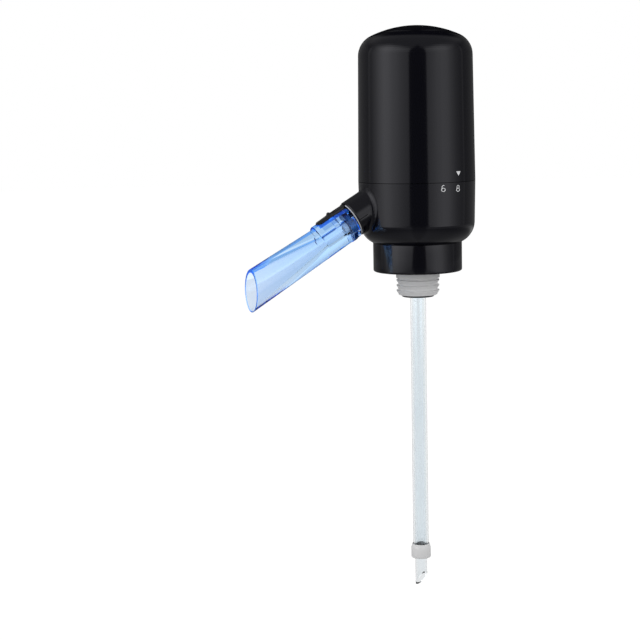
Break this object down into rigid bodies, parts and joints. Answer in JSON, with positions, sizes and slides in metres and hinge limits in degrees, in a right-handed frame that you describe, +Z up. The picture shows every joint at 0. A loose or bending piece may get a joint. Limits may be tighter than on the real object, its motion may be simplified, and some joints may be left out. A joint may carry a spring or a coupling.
{
  "type": "electric wine aerator",
  "caption": "Bottle-top electric wine aerator: black domed pump head on a bottle collar, slanted clear blue pouring spout and telescopic dip tube.",
  "frame": {"origin": "on the body's axis at the level of the collar's lower edge, inside the stopper's plain land", "axes": "+Z up along the body's axis, -Y towards the pouring spout, +X to the right of someone facing the spout's mouth from behind the body"},
  "size_m": [0.049, 0.0993, 0.2389],
  "materials": {
    "black_gloss": "satin-gloss moulded black",
    "button_black": "satin moulded black",
    "charcoal": "moulded dark grey",
    "silicone": "matt pale silicone",
    "screw_steel": "zinc-plated",
    "hose": "smooth soft hose",
    "clear_tube": "clear moulded plastic",
    "clear_blue": "clear light-blue plastic, polished",
    "black_rubber": "smooth black rubber",
    "pump_plastic": "moulded pale grey",
    "valve_plastic": "moulded grey",
    "motor_steel": "plated steel",
    "lead_red": "insulated lead",
    "cell_wrap": "shrink sleeve",
    "nickel": "bright nickel",
    "board_green": "solder mask",
    "switch_black": "moulded",
    "plunger_red": "moulded",
    "light_pipe": "clear light pipe"
  },
  "bodies": {
    "lower_head": {"lower_housing": "black_gloss", "bottle_collar": "black_gloss", "base_disc": "charcoal", "neck_stem": "charcoal", "bottle_stopper": "silicone", "lip_gasket": "silicone", "base_screws": "screw_steel", "air_check_valve": "silicone", "wine_hose": "hose", "spout_spigot": "black_gloss", "nozzle_seal": "silicone", "stub_gasket": "silicone", "lower_deck": "charcoal", "deck_screws": "screw_steel", "outer_dip_tube": "clear_tube", "tube_gland": "silicone"},
    "release_tongue": {"release_tongue": "black_gloss"},
    "spout": {"spout": "clear_blue"},
    "inner_dip_tube": {"inner_dip_tube": "clear_tube"},
    "power_head": {"upper_housing": "black_gloss", "inner_frame": "charcoal", "air_joint_seal": "black_rubber", "frame_screws": "screw_steel", "air_sleeve": "silicone", "pump_cover": "pump_plastic", "pump_valve_plate": "valve_plastic", "pump_diaphragm": "black_rubber", "pump_housing": "pump_plastic", "wobble_plate": "pump_plastic", "pump_screws": "screw_steel", "motor_can": "motor_steel", "motor_end_cap": "pump_plastic", "motor_leads": "lead_red", "battery_cell": "cell_wrap", "battery_tabs": "nickel", "control_board": "board_green", "board_screws": "screw_steel", "tact_switch": "switch_black", "usb_socket": "nickel", "charge_light": "light_pipe"},
    "top_button": {"top_button": "button_black", "switch_plunger": "plunger_red"},
    "pump_rotor": {"motor_shaft": "motor_steel", "pump_eccentric": "pump_plastic"}
  },
  "joints": [
    {"name": "head_twist", "type": "hinge", "parent": "lower_head", "child": "power_head", "pos_m": [0, 0, 0.038], "axis": [0, 0, 1], "range_deg": [-18, 0]},
    {"name": "button_press", "type": "slide", "parent": "power_head", "child": "top_button", "axis": [0, 0, -1], "range_m": [0, 0.0008], "stiffness_N_per_m": 800, "springref_m": -0.0005},
    {"name": "rotor_spin", "type": "hinge", "parent": "power_head", "child": "pump_rotor", "pos_m": [0, -0.01014, 0.07], "axis": [0, 0, 1], "continuous": true},
    {"name": "spout_pull", "type": "slide", "parent": "lower_head", "child": "spout", "axis": [0, -0.8704, -0.4924], "range_m": [0, 0.018]},
    {"name": "tongue_press", "type": "hinge", "parent": "lower_head", "child": "release_tongue", "pos_m": [0, -0.02985, 0.0302], "axis": [1, 0, 0], "range_deg": [0, 3.5], "stiffness_Nm_per_rad": 0.05, "springref_deg": -2.86},
    {"name": "tube_slide", "type": "slide", "parent": "lower_head", "child": "inner_dip_tube", "axis": [0, 0, -1], "range_m": [0, 0.1]}
  ]
}
